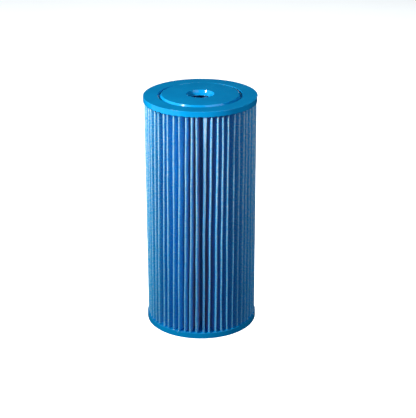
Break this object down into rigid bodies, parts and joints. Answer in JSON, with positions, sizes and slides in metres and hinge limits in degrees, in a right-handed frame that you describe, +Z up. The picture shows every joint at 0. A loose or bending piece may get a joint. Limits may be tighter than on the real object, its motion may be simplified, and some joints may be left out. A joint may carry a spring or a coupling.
{
  "type": "pleated filter cartridge",
  "caption": "Round pleated water filter cartridge with cast end caps, a central through bore, a perforated core tube and a glued side seam.",
  "frame": {"origin": "centre of the bottom cap's raised disc, on the plane that the cartridge stands on", "axes": "+Z up along the cartridge's axis, towards the top cap; the side seam of the pleat pack faces -Y"},
  "size_m": [0.1142, 0.1142, 0.2454],
  "materials": {
    "cap_resin": "semi-gloss cast resin, bright blue",
    "filter_cloth": "matte spun-bond polyester, blue, paler at the folds",
    "seam_adhesive": "set hot-melt adhesive, pale blue",
    "core_plastic": "moulded polypropylene, blue"
  },
  "bodies": {
    "root": {"top_end_cap": "cap_resin", "bottom_end_cap": "cap_resin", "pleated_media": "filter_cloth", "seam_bead": "seam_adhesive", "core_tube": "core_plastic"}
  },
  "joints": []
}
